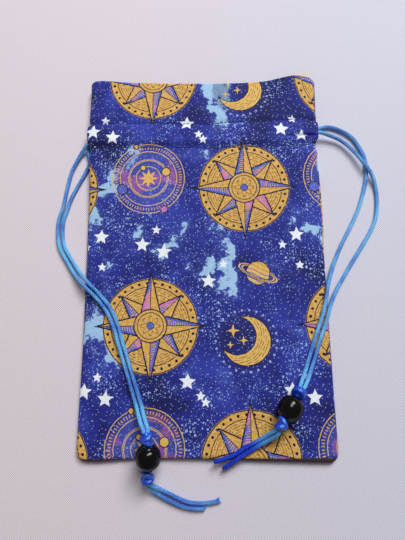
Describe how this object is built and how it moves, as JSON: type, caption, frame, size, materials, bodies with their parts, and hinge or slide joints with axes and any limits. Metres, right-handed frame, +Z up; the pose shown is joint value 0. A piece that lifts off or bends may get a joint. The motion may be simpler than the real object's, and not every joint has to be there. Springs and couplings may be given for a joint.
{
  "type": "kinchaku drawstring pouch",
  "caption": "Small flat cotton drawstring pouch with a stitched casing, satin cords that run out at both sides, and a barrel bead between knots on each cord.",
  "frame": {"origin": "under the middle of the cloth, on the flat that the back panel rests on", "axes": "+X to the right and +Y towards the mouth as seen from the front, +Z up from the back panel to the front panel"},
  "size_m": [0.1757, 0.2249, 0.0164],
  "materials": {
    "printed_cotton": "matt woven cotton, navy with a gold, blue, pink and white print",
    "plain_cotton": "matt woven cotton, navy",
    "sewing_thread": "dark polyester sewing thread",
    "satin_cord": "shiny round satin cord, blue",
    "gloss_bead": "polished black"
  },
  "bodies": {
    "pouch": {"front_panel": "printed_cotton", "back_panel": "printed_cotton", "front_casing_facing": "plain_cotton", "back_casing_facing": "plain_cotton", "lower_stitches_front": "sewing_thread", "lower_stitches_back": "sewing_thread", "upper_stitches_front": "sewing_thread", "upper_stitches_back": "sewing_thread", "body_seam_thread": "sewing_thread", "left_header_seam_thread": "sewing_thread", "right_header_seam_thread": "sewing_thread", "casing_cord_left": "satin_cord", "casing_cord_right": "satin_cord", "strand_1_left": "satin_cord", "strand_2_left": "satin_cord", "strand_1_right": "satin_cord", "strand_2_right": "satin_cord", "upper_knot_left": "satin_cord", "upper_knot_right": "satin_cord", "strand_1_in_bead_left": "satin_cord", "strand_2_in_bead_left": "satin_cord", "strand_1_in_bead_right": "satin_cord", "strand_2_in_bead_right": "satin_cord", "lower_knot_left": "satin_cord", "lower_knot_right": "satin_cord", "tail_1_left": "satin_cord", "tail_2_left": "satin_cord", "tail_1_right": "satin_cord", "tail_2_right": "satin_cord"},
    "left_bead": {"bead_left": "gloss_bead"},
    "right_bead": {"bead_right": "gloss_bead"}
  },
  "joints": [
    {"name": "bead_left_spin", "type": "hinge", "parent": "pouch", "child": "left_bead", "pos_m": [-0.0272, -0.0978, 0.01], "axis": [0, -0.9511, -0.309], "continuous": true},
    {"name": "bead_right_spin", "type": "hinge", "parent": "pouch", "child": "right_bead", "pos_m": [0.0406, -0.0762, 0.00979], "axis": [-0.5379, -0.8169, 0.208], "continuous": true}
  ]
}
